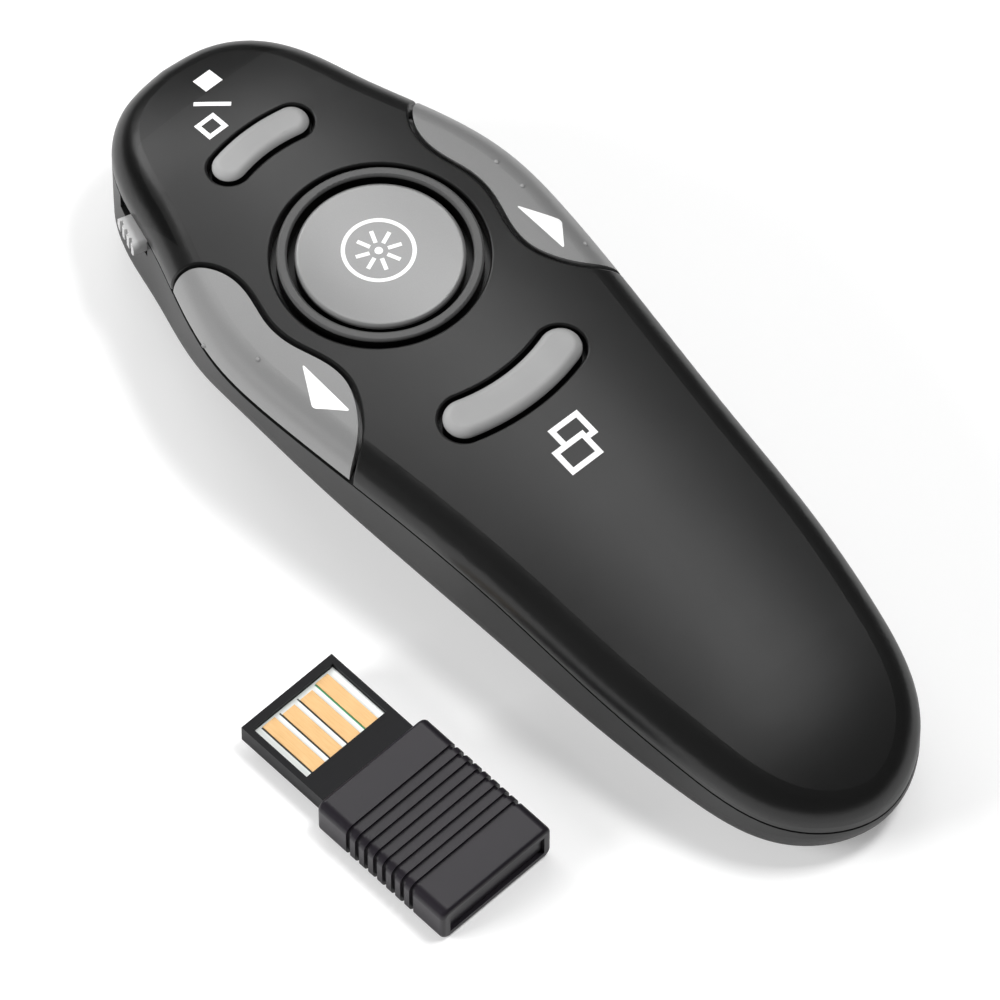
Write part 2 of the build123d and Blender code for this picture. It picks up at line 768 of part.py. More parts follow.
with BuildPart() as previous_button:
    mirror(next_button.part, about=Plane.YZ)
save("previous_button", previous_button)

# -------------------------------------------------- circuit board and its parts
with BuildPart() as main_board:
    with BuildSketch(Plane.XY.offset(board_bottom)):
        add(plan(board_inset))
        with Locations((0, ring_y - board_rear_from_ring)):
            Rectangle(body_width, body_length, align=(Align.CENTER, Align.MIN), mode=Mode.INTERSECT)
        with Locations((0, head_y - board_front_from_head)):
            Rectangle(body_width, body_length, align=(Align.CENTER, Align.MAX), mode=Mode.INTERSECT)
        with Locations(*board_screws_at):
            Circle(screw_shank_radius + fit_gap, mode=Mode.SUBTRACT)
        add(switch_area(power_body_length + 2 * fit_gap, power_body_back + fit_gap), mode=Mode.SUBTRACT)
    extrude(amount=board_thickness)
save("main_board", main_board)

switch_places = list(switches.values())
with BuildPart() as switch_bases:
    with Locations(*at_height(switch_places, board_top)):
        Box(switch_size, switch_size, switch_height, align=seated)
    with Locations(*at_height(switch_places, board_top + switch_floor)):
        Cylinder(plunger_radius + plunger_gap, switch_height, align=seated, mode=Mode.SUBTRACT)
save("switch_bases", switch_bases)

with BuildPart() as switch_covers:
    with Locations(*at_height(switch_places, board_top + switch_height)):
        Box(switch_size, switch_size, switch_cover_thickness, align=seated)
        Cylinder(plunger_radius + plunger_gap, switch_height, align=seated, mode=Mode.SUBTRACT)
save("switch_covers", switch_covers)

for name, place in switches.items():
    with BuildPart() as plunger:
        with Locations((*place, plunger_top)):
            Cylinder(plunger_radius, plunger_length, align=hanging)
    save(name + "_switch_plunger", plunger)

chip_y = ring_y + chip_from_ring
with BuildPart() as processor_chip:
    with Locations((0, chip_y, board_top)):
        Box(chip_size, chip_size, chip_height, align=seated)
save("processor_chip", processor_chip)

with BuildPart() as radio_crystal:
    with Locations((crystal_x, ring_y - crystal_from_ring, board_top)):
        Box(*crystal_size, align=seated)
save("radio_crystal", radio_crystal)

with BuildPart() as chip_components:
    with Locations((0, chip_y, board_top)):
        with GridLocations(chip_size + component_gap, component_pitch, 2, component_rows):
            Box(*component_size, align=seated)
save("chip_components", chip_components)

with BuildPart() as board_screws:
    with Locations(*at_height(board_screws_at, board_bottom)):
        Cylinder(screw_head_radius, screw_head_height, align=hanging)
        Cylinder(screw_shank_radius, board_screw_length, align=seated)
save("board_screws", board_screws)

with BuildPart() as case_screws:
    with Locations(*at_height(head_screws_at, head_screw_seat)):
        Cylinder(screw_head_radius, screw_head_height, align=hanging)
        Cylinder(screw_shank_radius, head_screw_length, align=seated)
    with Locations((*tail_screw_at, tail_screw_seat)):
        Cylinder(screw_head_radius, screw_head_height, align=hanging)
        Cylinder(screw_shank_radius, tail_screw_length, align=seated)
save("case_screws", case_screws)

# --------------------------------------------------------------------- battery
with BuildPart() as battery:
    with BuildSketch(battery_plane):
        Circle(battery_radius)
    extrude(amount=battery_can_length)
    fillet(battery.edges().filter_by(GeomType.CIRCLE), battery_round)
    with BuildSketch(battery_plane.offset(battery_can_length - battery_round)):
        Circle(battery_nub_radius)
    extrude(amount=battery_nub_length + battery_round)
save("battery", battery)

spring_pitch = (spring_length - 2 * spring_wire_radius) / spring_turns
with BuildPart() as battery_spring:
    with BuildLine():
        coil = Helix(
            spring_pitch, spring_pitch * spring_turns, spring_radius,
            center=(0, spring_start_y + spring_wire_radius, battery_axis_z), direction=(0, 1, 0),
        )
    with BuildSketch(Plane(origin=coil @ 0, z_dir=coil % 0)):
        Circle(spring_wire_radius)
    sweep(is_frenet=True)
save("battery_spring", battery_spring)

half_contact = contact_width / 2
contact_low = battery_axis_z - half_contact
with BuildPart() as negative_contact:
    box_between((-half_contact, rear_wall_y, contact_low), (half_contact, spring_start_y, contact_top))
save("negative_contact", negative_contact)

with BuildPart() as positive_contact:
    contact_front_y = battery_front_y + contact_thickness
    box_between((-half_contact, battery_front_y, contact_low), (half_contact, contact_front_y, contact_top))
    box_between(
        (-tab_width / 2, battery_front_y, contact_top), (tab_width / 2, contact_front_y, board_bottom)
    )
save("positive_contact", positive_contact)

lead_z = board_bottom - lead_drop
board_rear_y = ring_y - board_rear_from_ring
with BuildPart() as negative_lead:
    with BuildLine():
        route = FilletPolyline(
            (half_contact - lead_radius, spring_start_y + lead_radius, contact_top - lead_radius),
            (lead_x, spring_start_y + 2 * lead_bend, lead_z),
            (lead_x, board_rear_y + lead_bend, lead_z),
            (lead_x, board_rear_y + 2 * lead_bend, board_bottom),
            radius=lead_bend / 2,
        )
    with BuildSketch(Plane(origin=route @ 0, z_dir=route % 0)):
        Circle(lead_radius)
    sweep()
    box_between((-body_width, tail_y, board_bottom), (body_width, head_y, tall), mode=Mode.SUBTRACT)
save("negative_lead", negative_lead)

# ------------------------------------------------------------------- laser end
with BuildPart() as laser_barrel:
    with BuildSketch(laser_plane.offset(-barrel_length)):
        Circle(barrel_radius)
    extrude(amount=barrel_length)
    with BuildSketch(laser_plane.offset(-barrel_bore_depth)):
        Circle(barrel_bore_radius)
    extrude(amount=barrel_bore_depth, mode=Mode.SUBTRACT)
save("laser_barrel", laser_barrel)

with BuildPart() as laser_diode:
    with BuildSketch(laser_plane.offset(-barrel_bore_depth)):
        Circle(diode_radius)
    extrude(amount=diode_length)
save("laser_diode", laser_diode)

with BuildPart() as laser_lens:
    with BuildSketch(laser_plane.offset(-lens_depth)):
        Circle(barrel_bore_radius)
    extrude(amount=lens_thickness)
save("laser_lens", laser_lens)

with BuildPart() as laser_window:
    with BuildSketch(laser_plane.offset(window_seat)):
        Circle(window_radius)
    extrude(amount=window_thickness)
save("laser_window", laser_window)

# ---------------------------------------------------------------- power switch
knob_plane = power_plane.shift_origin(power_plane.from_local_coords(Vector(-power_travel / 2, 0, 0)))
ridge_length = power_ridge_pitch / 2
with BuildPart() as power_switch_knob:
    with BuildSketch(knob_plane.offset(-wall - knob_root)):
        RectangleRounded(power_knob_length, power_knob_height, power_knob_round)
    extrude(amount=wall + knob_root + power_knob_proud)
    with BuildSketch(knob_plane.offset(power_knob_proud - power_ridge_depth)):
        with GridLocations(power_ridge_pitch, 0, power_ridges, 1):
            Rectangle(ridge_length, power_knob_height)
    extrude(amount=power_ridge_depth, mode=Mode.SUBTRACT)
    with BuildSketch(knob_plane.offset(-wall - knob_root)):
        Rectangle(power_plate_length, power_plate_height)
    extrude(amount=power_knob_plate)
save("power_switch_knob", power_switch_knob)

with BuildPart() as power_switch_body:
    with BuildSketch(power_plane.offset(-power_body_back)):
        Rectangle(power_body_length, power_body_height)
        with Locations((0, power_axis_z - board_top)):
            Rectangle(power_lug_length, power_lug_thickness, align=(Align.CENTER, Align.MAX))
    extrude(amount=power_body_depth)
save("power_switch_body", power_switch_body)

# -------------------------------------------------------------------- receiver
receiver_rear_y = receiver_front_y - receiver_length
plug_tip_y = receiver_front_y + plug_length
plug_low = (receiver_height - plug_thickness) / 2
tray_top = plug_low + plug_thickness
left_x = receiver_center_x - receiver_width / 2
right_x = receiver_center_x + receiver_width / 2
plug_left = receiver_center_x - plug_width / 2
plug_right = receiver_center_x + plug_width / 2
section_center_z = receiver_height / 2
receiver_pivot = Axis((receiver_center_x, receiver_front_y, 0), (0, 0, 1))


def save_askew(name, piece):
    """Write a piece of the receiver, turned to the way that it lies on the table."""
    with BuildPart() as turned:
        add(piece.part.rotate(receiver_pivot, receiver_turn))
    save(name, turned)


groove_plane = Plane(
    origin=(receiver_center_x, receiver_front_y - groove_first, section_center_z), x_dir=(1, 0, 0), z_dir=(0, -1, 0)
)
with BuildPart() as receiver_body:
    with BuildSketch(groove_plane.offset(-groove_first)):
        RectangleRounded(receiver_width, receiver_height, receiver_round)
    extrude(amount=receiver_length)
    fillet(receiver_body.faces().sort_by(Axis.Y)[0].edges(), receiver_end_round)
    fillet(receiver_body.faces().sort_by(Axis.Y)[-1].edges(), receiver_end_round)
    for i in range(groove_count):
        with BuildSketch(groove_plane.offset(i * groove_pitch)):
            Rectangle(receiver_width + overrun, receiver_height + overrun)
            RectangleRounded(
                receiver_width - 2 * groove_depth, receiver_height - 2 * groove_depth,
                receiver_round - groove_depth, mode=Mode.SUBTRACT,
            )
        extrude(amount=groove_width, mode=Mode.SUBTRACT)
    box_between(
        (left_x + receiver_wall, receiver_rear_y - overrun, receiver_wall),
        (right_x - receiver_wall, receiver_front_y - receiver_wall, receiver_height - receiver_wall),
        mode=Mode.SUBTRACT,
    )
    box_between(
        (plug_left - fit_gap / 2, receiver_front_y - overrun, plug_low - fit_gap / 2),
        (plug_right + fit_gap / 2, receiver_front_y + overrun, tray_top + fit_gap / 2), mode=Mode.SUBTRACT,
    )
save_askew("receiver_body", receiver_body)

cap_gap = fit_gap / 2
cap_rear_y = receiver_rear_y + receiver_cap_sink
with BuildPart() as receiver_cap:
    box_between(
        (left_x + receiver_wall + cap_gap, cap_rear_y, receiver_wall + cap_gap),
        (right_x - receiver_wall - cap_gap, cap_rear_y + receiver_wall, receiver_height - receiver_wall - cap_gap),
    )
save_askew("receiver_cap", receiver_cap)

tray_rear_y = receiver_front_y - tray_root
board_low = plug_low + tray_floor
board_tip_y = plug_tip_y - tray_front - cap_gap
board_face = board_low + plug_board_thickness
with BuildPart() as plug_tray:
    box_between((plug_left, tray_rear_y, plug_low), (plug_right, plug_tip_y, tray_top))
    box_between(
        (plug_left + tray_wall, tray_rear_y - overrun, board_low),
        (plug_right - tray_wall, plug_tip_y - tray_front, tray_top + overrun), mode=Mode.SUBTRACT,
    )
    box_between((plug_left, receiver_front_y, board_face), (plug_right, receiver_front_y + tray_bar, tray_top))
save_askew("plug_tray", plug_tray)

with BuildPart() as plug_board:
    box_between(
        (plug_left + tray_wall + cap_gap, board_tip_y - plug_board_length, board_low),
        (plug_right - tray_wall - cap_gap, board_tip_y, board_low + plug_board_thickness),
    )
save_askew("plug_board", plug_board)

with BuildPart() as plug_contacts:
    for i in range(pad_count):
        pad_x = receiver_center_x + (i - (pad_count - 1) / 2) * pad_pitch
        pad_length = outer_pad_length if i in (0, pad_count - 1) else inner_pad_length
        pad_rear_y = receiver_front_y + pad_from_body
        box_between(
            (pad_x - pad_width / 2, pad_rear_y, board_face),
            (pad_x + pad_width / 2, pad_rear_y + pad_length, board_face + pad_thickness),
        )
save_askew("plug_contacts", plug_contacts)

with BuildPart() as receiver_chip:
    with Locations((receiver_center_x, tray_rear_y - chip_size, board_face)):
        Box(chip_size, chip_size, receiver_chip_height, align=seated)
save_askew("receiver_chip", receiver_chip)
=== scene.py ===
"""Finishes, printed marks, lamps and camera for the presentation clicker and its USB receiver."""

import json
from math import cos, pi, radians, sin

import bmesh
import bpy
from mathutils import Matrix, Vector
from mathutils.bvhtree import BVHTree


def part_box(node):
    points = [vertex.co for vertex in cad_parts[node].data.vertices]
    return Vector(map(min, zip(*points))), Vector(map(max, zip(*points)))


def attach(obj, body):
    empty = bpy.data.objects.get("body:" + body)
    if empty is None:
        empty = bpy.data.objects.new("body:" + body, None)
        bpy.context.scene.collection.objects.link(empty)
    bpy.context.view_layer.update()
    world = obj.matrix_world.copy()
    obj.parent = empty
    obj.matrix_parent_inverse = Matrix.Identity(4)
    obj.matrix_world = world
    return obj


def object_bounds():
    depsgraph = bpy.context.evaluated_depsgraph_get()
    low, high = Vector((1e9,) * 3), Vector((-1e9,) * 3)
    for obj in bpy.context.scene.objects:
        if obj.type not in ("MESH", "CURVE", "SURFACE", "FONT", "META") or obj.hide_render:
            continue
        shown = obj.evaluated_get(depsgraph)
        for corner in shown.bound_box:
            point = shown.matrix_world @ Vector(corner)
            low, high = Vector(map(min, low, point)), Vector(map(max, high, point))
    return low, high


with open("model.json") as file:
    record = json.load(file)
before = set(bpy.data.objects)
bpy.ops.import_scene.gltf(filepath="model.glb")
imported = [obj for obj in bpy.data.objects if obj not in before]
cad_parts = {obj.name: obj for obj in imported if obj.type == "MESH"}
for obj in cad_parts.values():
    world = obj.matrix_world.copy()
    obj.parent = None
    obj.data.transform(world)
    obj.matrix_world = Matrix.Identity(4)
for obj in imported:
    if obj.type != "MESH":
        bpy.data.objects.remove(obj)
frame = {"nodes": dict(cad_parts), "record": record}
cad_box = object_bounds()

MM = 0.001
UP = Vector((0, 0, 1))

# ------------------------------------------------------------------ driving sizes
ink_thickness = 0.02 * MM      # a printed mark stands this far off the plastic
ink_depth = 0.04 * MM          # and reaches this far into it
ink_pitch = 0.5 * MM           # spacing of the cuts that let a mark follow the surface
corner_steps = 5
dot_radius = 0.28 * MM         # raised dots on the side buttons
dot_rise = 0.12 * MM

crest_y = 17.4 * MM            # highest point of the ridge
crest_z = 20.5 * MM
ridge_radius = 254.5 * MM      # lengthwise curve of the top
crown_radius = 110.0 * MM      # crosswise curve of the top
gap_reach = 13.5 * MM          # the gaps round the middle buttons lie within this of the ridge
gap_rear = -8.0 * MM

lit_shell = 0.3 * MM           # how far light reaches down the walls of the narrow gaps; below it, shade is painted near black
lit_arc = 0.1 * MM
lit_laser = 0.6 * MM
lit_bezel = 0.35 * MM

knob_outward = (-0.9534, 0.3016)   # the way that the flank faces at the power switch
knob_wall = 24.4 * MM              # and how far that way the casing's outside is; within it the knob is painted in shade

receiver_front = (-32.3 * MM, -15.4 * MM, 0)   # middle of the receiver's front edge
receiver_turn = radians(2.5)
pad_width = 1.6 * MM
pad_pitch = 2.35 * MM
pad_rear = 3.5 * MM            # the pads begin and end this far in front of the receiver
pad_front = 10.6 * MM
slit_width = 0.17 * MM         # the slit beside each pad

cloud_size = 9 * MM            # soft clouds in the colour of moulded plastic
cloud_edge = 0.35              # the noise at which a cloud begins
cloud_fade = 0.3               # and how much more noise makes it full
wipe_size = 14 * MM            # patches of more or less sheen on it
flake_size = 0.09 * MM         # flakes in silver paint
flake_edge = 0.4               # the noise at which a flake begins to shine
flake_gain = 0.6               # and how fast it does so
sheen_size = 11 * MM           # patches of more or less sheen in the paint
tool_mark = 0.25 * MM          # spacing of the marks on drawn or turned metal

floor_reach = 6.0
floor_drop = 0.02 * MM         # keeps the floor clear of what stands on it
floor_glow = 0.27
fill_light = 0.14              # the surroundings, as they light the object
mirrored_light = 0.04          # and as a shiny surface shows them
lamp_aim = Vector((0, 0, 10 * MM))

image_size = 1000
picture_scale = 10.31 / MM     # pixels per metre at the laser button
button_pixel = (380.46, 252.85)
button_y = 19.9 * MM           # middle of the laser button
view_heading = radians(41.5)   # from +Y towards +X
view_drop = radians(57.7)      # below the horizon
camera_distance = 1.2
sensor_width = 36.0


# ------------------------------------------------------------------ shader tools
class Value:
    """A number that varies over a surface: one output of a node, with arithmetic."""

    def __init__(self, finish, socket):
        self.finish = finish
        self.socket = socket

    def _math(self, operation, *terms):
        return self.finish.node("ShaderNodeMath", {"operation": operation}, dict(enumerate(terms)))

    def __add__(self, other):
        return self._math("ADD", self, other)

    def __sub__(self, other):
        return self._math("SUBTRACT", self, other)

    def __rsub__(self, other):
        return self._math("SUBTRACT", other, self)

    def __mul__(self, other):
        return self._math("MULTIPLY", self, other)

    def __truediv__(self, other):
        return self._math("DIVIDE", self, other)

    def __lt__(self, other):
        return self._math("LESS_THAN", self, other)

    def __gt__(self, other):
        return self._math("GREATER_THAN", self, other)

    def __abs__(self):
        return self._math("ABSOLUTE", self)

    __radd__ = __add__
    __rmul__ = __mul__


def channels(code):
    """The red, green and blue of an sRGB code such as 8e8e8e, from 0 to 255."""
    return [int(code[i:i + 2], 16) for i in (0, 2, 4)]


def shade(code, share):
    """The sRGB code made lighter or darker by a share."""
    return "".join("%02x" % min(255, round(level * share)) for level in channels(code))


def tone(code):
    """Linear colour of an sRGB code."""
    shares = [level / 255 for level in channels(code)]
    linear = [s / 12.92 if s <= 0.04045 else ((s + 0.055) / 1.055) ** 2.4 for s in shares]
    return (*linear, 1)


def swing(noise, amount):
    """Noise from 0 to 1 made a shift either way, the whole amount from end to end."""
    return amount * (noise - 0.5)


class Finish:
    """One material: a Principled shader and the nodes that feed it."""

    def __init__(self, name, color, roughness, metallic=0.0, **sockets):
        self.material = bpy.data.materials.new(name)
        self.material.use_nodes = True
        self.tree = self.material.node_tree
        self.shader = self.tree.nodes["Principled BSDF"]
        self.point = self.node("ShaderNodeTexCoord", output="Object")
        self.color = tone(color)
        self.feed(color=self.color, roughness=roughness, metallic=metallic)
        for socket, value in sockets.items():
            self.shader.inputs[socket.replace("_", " ")].default_value = value

    def node(self, kind, settings=None, inputs=None, output=0):
        """Add a node; its settings come first, then the values or links of its inputs."""
        made = self.tree.nodes.new(kind)
        for name, value in (settings or {}).items():
            setattr(made, name, value)
        for key, value in (inputs or {}).items():
            self.join(value, made.inputs[key])
        return Value(self, made.outputs[output])

    def join(self, value, socket):
        """Link a varying value to a socket, or set the socket to a plain one."""
        if isinstance(value, Value):
            self.tree.links.new(value.socket, socket)
        else:
            socket.default_value = value

    def feed(self, color=None, roughness=None, metallic=None):
        fed = {"Base Color": color, "Roughness": roughness, "Metallic": metallic}
        for socket, value in fed.items():
            if value is not None:
                self.join(value, self.shader.inputs[socket])

    def texture(self, size, detail, point):
        """Noise from 0 to 1 whose blotches are about size across."""
        inputs = {"Vector": point, "Scale": 1 / size, "Detail": detail}
        return self.node("ShaderNodeTexNoise", {}, inputs)

    def noise(self, size, detail=3.0, offset=0.0):
        """Cloudy noise; an offset gives another part of the same noise."""
        inputs = {"Vector": self.point, "Location": (offset,) * 3}
        return self.texture(size, detail, self.node("ShaderNodeMapping", {}, inputs))

    def blend(self, share, first, second):
        """A colour between first, where share is 0, and second, where it is 1."""
        inputs = {"Factor": share, 6: first, 7: second}
        return self.node("ShaderNodeMix", {"data_type": "RGBA"}, inputs, output=2)

    def bump(self, height, depth):
        """Relief of the given depth in metres where height goes from 0 to 1."""
        inputs = {"Height": height, "Distance": depth, "Strength": 1.0}
        self.join(self.node("ShaderNodeBump", {}, inputs), self.shader.inputs["Normal"])

    def axis(self, index, point=None):
        """One coordinate of a place on the surface."""
        inputs = {"Vector": point or self.point}
        return self.node("ShaderNodeSeparateXYZ", {}, inputs, output=index)

    def along_receiver(self, stretch=(1, 1, 1)):
        """Position measured from the receiver's front edge, square with the receiver."""
        inputs = {
            "Vector": self.point,
            "Location": receiver_front,
            "Rotation": (0, 0, receiver_turn),
            "Scale": stretch,
        }
        return self.node("ShaderNodeMapping", {"vector_type": "TEXTURE"}, inputs)

    def paint_shade(self, mask, code="0a0a0a"):
        """Painted shade: near black where mask is 1, on the walls of narrow gaps that no light
        reaches.
        """
        links = self.shader.inputs["Base Color"].links
        before = Value(self, links[0].from_socket) if links else self.color
        self.feed(color=self.blend(mask, before, tone(code)))
        return self.material

    def below_crown(self, depth):
        """1 where a point lies deeper than depth under the curved top, along its middle: where gap
        shade is painted.
        """
        x, y, z = (self.axis(i) for i in range(3))
        from_crest = y - crest_y
        ridge_drop = from_crest * from_crest / (2 * ridge_radius)
        crown_drop = x * x / (2 * crown_radius)
        under = z < crest_z - depth - ridge_drop - crown_drop
        return under * (abs(x) < gap_reach) * (y > gap_rear)

    def clouded(self, size, amount, second):
        """Shift the colour towards a second one in soft clouds."""
        share = (self.noise(size) - cloud_edge) * (amount / cloud_fade)
        self.feed(color=self.blend(share, self.color, tone(second)))


def moulded(name, color, roughness, grain=0.11, depth=0.004, **sockets):
    """Moulded plastic: fine spark-eroded grain, a slightly uneven sheen and soft clouds.

    The grain's width and depth are in millimetres.
    """
    finish = Finish(name, color, roughness, **sockets)
    finish.clouded(cloud_size, 0.5, shade(color, 0.9))
    fine = finish.noise(grain * MM, detail=2.0)
    wiped = finish.noise(wipe_size, offset=3.0)
    finish.feed(roughness=roughness + swing(wiped, 0.08) + swing(fine, 0.05))
    finish.bump(fine, depth * MM)
    return finish


def moulded_plastic(*settings, **sockets):
    return moulded(*settings, **sockets).material


def painted(name, color, roughness, metallic):
    """Silver paint: metal flakes that sparkle a little under a satin surface."""
    finish = Finish(name, color, roughness, metallic)
    flakes = finish.noise(flake_size, detail=1.0)
    share = (flakes - flake_edge) * flake_gain
    finish.feed(color=finish.blend(share, tone(shade(color, 0.96)), tone(shade(color, 1.06))))
    finish.feed(roughness=roughness + swing(finish.noise(sheen_size, offset=2.0), 0.06))
    finish.bump(flakes, 0.0015 * MM)
    return finish


def worked_metal(name, color, roughness, stretch=(1, 1, 1)):
    """Drawn or turned metal, with fine marks along the direction that is not stretched."""
    finish = Finish(name, color, roughness, metallic=1.0)
    inputs = {"Vector": finish.point, "Scale": stretch}
    marks = finish.texture(tool_mark, 2.0, finish.node("ShaderNodeMapping", {}, inputs))
    stain = finish.noise(3 * MM)
    finish.feed(color=finish.blend(stain, finish.color, tone(shade(color, 0.86))))
    finish.feed(roughness=roughness + swing(marks, 0.12))
    finish.bump(marks, 0.002 * MM)
    return finish.material


def circuit_green():
    """Green solder resist with paler copper traces under it."""
    mesh_size = 2.4 * MM
    trace_share = 0.06
    finish = Finish("circuit_green", "1f5a34", 0.35)
    inputs = {"Vector": finish.point, "Scale": 1 / mesh_size}
    cell = finish.node("ShaderNodeTexVoronoi", {"feature": "DISTANCE_TO_EDGE"}, inputs)
    trace = cell < trace_share
    finish.feed(color=finish.blend(trace, finish.color, tone("3c8450")))
    finish.bump(trace, 0.02 * MM)
    return finish.material


def battery_wrap(low_y, high_y):
    """Printed sleeve of a cell: dark along the can, copper at its positive end."""
    copper_length = 0.26 * (high_y - low_y)
    cap_length = 1.3 * MM
    rim_length = 0.5 * MM
    finish = Finish("battery_wrap", "26282b", 0.3)
    y = finish.axis(1)
    copper = y > high_y - copper_length
    steel = (y > high_y - cap_length) + (y < low_y + rim_length)
    sleeve = finish.blend(copper, finish.color, tone("b06a35"))
    finish.feed(color=finish.blend(steel, sleeve, tone("b9b9b9")), metallic=0.3 + 0.5 * copper)
    finish.feed(roughness=0.3 + swing(finish.noise(0.8 * MM), 0.1))
    return finish.material


def plug_board_white():
    """White lacquered board with a dark slit beside each contact, the last one green."""
    finish = Finish("plug_board_white", "f2f4f2", 0.35)
    own = finish.along_receiver()
    x = finish.axis(0, own)
    y = finish.axis(1, own)
    along = (y > pad_rear) * (y < pad_front)
    first_x = -1.5 * pad_pitch - (pad_width + slit_width) / 2
    slits = [abs(x - (first_x + i * pad_pitch)) < slit_width / 2 for i in range(4)]
    green = slits.pop() * along
    dark = sum(slits) * along
    base = finish.blend(finish.noise(1.5 * MM), finish.color, tone("e2e8e4"))
    lined = finish.blend(dark, base, tone("16181a"))
    finish.feed(color=finish.blend(green, lined, tone("2f8a5c")))
    finish.bump(1 - (dark + green), 0.03 * MM)
    return finish.material


def gold_plate():
    """Gold flash over copper, worn into faint lengthwise rubs by the socket's springs."""
    finish = Finish("gold_plate", "dcb27a", 0.38, metallic=0.55)
    rubs = finish.texture(0.12 * MM, 2.0, finish.along_receiver(stretch=(1, 16, 1)))
    finish.feed(color=finish.blend(rubs, tone("e3bd8a"), tone("cfa36a")))
    finish.feed(roughness=0.36 + swing(rubs, 0.14))
    finish.bump(rubs, 0.002 * MM)
    return finish.material


def clear_glass(name, color, roughness):
    finish = Finish(name, color, roughness, Transmission_Weight=0.6, IOR=1.49, Coat_Weight=0.5)
    finish.feed(roughness=roughness + 0.03 * finish.noise(2 * MM))
    return finish.material


def white_ink():
    finish = Finish("white_ink", "fcfcfc", 0.55)
    finish.feed(color=finish.blend(finish.noise(0.4 * MM), finish.color, tone("f4f4f4")))
    finish.bump(finish.noise(0.08 * MM), 0.001 * MM)
    return finish.material


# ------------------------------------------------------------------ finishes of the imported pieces
battery_low, battery_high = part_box("battery")

# the shell, laser button, bezel and arc buttons get painted shade, near black, on their walls down
# in the narrow gaps
shell = moulded("shell_plastic", "191919", 0.30)
shell_plastic = shell.paint_shade(shell.below_crown(lit_shell))
base_plastic = moulded_plastic("base_plastic", "1d1d1d", 0.4)
cover_plastic = moulded_plastic("cover_plastic", "1b1b1b", 0.42)
laser_paint = painted("laser_silver", "989898", 0.34, metallic=0.5)
laser_silver = laser_paint.paint_shade(laser_paint.axis(2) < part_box("laser_button")[1].z - lit_laser)
bezel = moulded("bezel_grey", "4c4c4c", 0.35)
bezel_grey = bezel.paint_shade(bezel.axis(2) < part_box("button_bezel")[1].z - lit_bezel)
arc = moulded("arc_silver", "9c9c9c", 0.42)
arc_silver = arc.paint_shade(arc.below_crown(lit_arc))
side_silver = painted("side_silver", "949494", 0.38, metallic=0.35).material
knob = moulded("knob_grey", "b8b8b8", 0.45)
knob_out = knob_outward[0] * knob.axis(0) + knob_outward[1] * knob.axis(1)
# painted shade, near black, on the part of the knob inside the casing
knob_grey = knob.paint_shade(knob_out < knob_wall)
switch_steel = worked_metal("switch_steel", "a8aaac", 0.3)
resist_green = circuit_green()
switch_black = moulded_plastic("switch_black", "1c1c1c", 0.5)
plunger_brown = moulded_plastic("plunger_brown", "4a3b2c", 0.5)
chip_black = moulded_plastic("chip_black", "17171a", 0.55, grain=0.05)
component_tan = moulded_plastic("component_tan", "8a7355", 0.4, grain=0.05)
screw_steel = worked_metal("screw_steel", "b4b6b8", 0.28)
cell_sleeve = battery_wrap(battery_low.y, battery_high.y)
spring_steel = worked_metal("spring_steel", "c9cacc", 0.25)
lead_red = moulded_plastic("lead_red", "8c1f1c", 0.45, grain=0.2)
barrel_brass = worked_metal("barrel_brass", "c39a4e", 0.25, stretch=(1, 0.1, 1))
lens_clear = clear_glass("lens_clear", "e8eef2", 0.05)
window_smoke = clear_glass("window_smoke", "2a0a0c", 0.08)
receiver_black = moulded_plastic(
    "receiver_black", "242126", 0.3, grain=0.2, depth=0.003, Specular_IOR_Level=0.36,
)
cap_black = moulded_plastic("cap_black", "252227", 0.28, grain=0.2, depth=0.003)
tray_black = moulded_plastic("tray_black", "161618", 0.34, Specular_IOR_Level=0.15)
board_white = plug_board_white()
pad_gold = gold_plate()
ink = white_ink()

finishes = {
    "top_shell": shell_plastic,
    "bottom_shell": base_plastic,
    "battery_cover": cover_plastic,
    "laser_button": laser_silver,
    "button_bezel": bezel_grey,
    "silver_button": arc_silver,
    "side_button": side_silver,
    "power_knob": knob_grey,
    "switch_metal": switch_steel,
    "circuit_board": resist_green,
    "switch_plastic": switch_black,
    "switch_plunger": plunger_brown,
    "chip": chip_black,
    "component": component_tan,
    "screw": screw_steel,
    "battery": cell_sleeve,
    "contact_metal": spring_steel,
    "lead": lead_red,
    "brass": barrel_brass,
    "lens": lens_clear,
    "laser_window": window_smoke,
    "receiver_body": receiver_black,
    "receiver_cap": cap_black,
    "plug_tray": tray_black,
    "plug_board": board_white,
    "gold_contact": pad_gold,
}
slot_of = {piece["node"]: piece["material_slot"] for piece in frame["record"]["subparts"]}
for name, node in frame["nodes"].items():
    for slot in node.material_slots:
        slot.material = finishes[slot_of[name]]


# ------------------------------------------------------------------ making pieces
def body_of(node):
    """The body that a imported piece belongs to."""
    bodies = frame["record"]["behaviour"]["bodies"]
    return next(body for body, nodes in bodies.items() if node in nodes)


def mesh_object(name, bm, material):
    """Put a bmesh into the scene as an object."""
    mesh = bpy.data.meshes.new(name)
    bm.to_mesh(mesh)
    bm.free()
    mesh.materials.append(material)
    made = bpy.data.objects.new(name, mesh)
    bpy.context.scene.collection.objects.link(made)
    return made


def finished(name, bm, material, body):
    """Make a piece of a closed bmesh and let it ride on a body."""
    bmesh.ops.recalc_face_normals(bm, faces=bm.faces[:])
    piece = mesh_object(name, bm, material)
    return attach(piece, body)


def skin(node):
    """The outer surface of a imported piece, to lay a mark on."""
    mesh = frame["nodes"][node].data
    corners = [v.co for v in mesh.vertices]
    return BVHTree.FromPolygons(corners, [f.vertices for f in mesh.polygons])


marked = ("top_shell", "laser_button", "previous_button", "next_button")
skins = {node: skin(node) for node in marked}


def on_top(node, x, y):
    """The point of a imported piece's upper surface at x and y."""
    return skins[node].ray_cast(Vector((x, y, cad_box[1].z + MM)), -UP)[0]


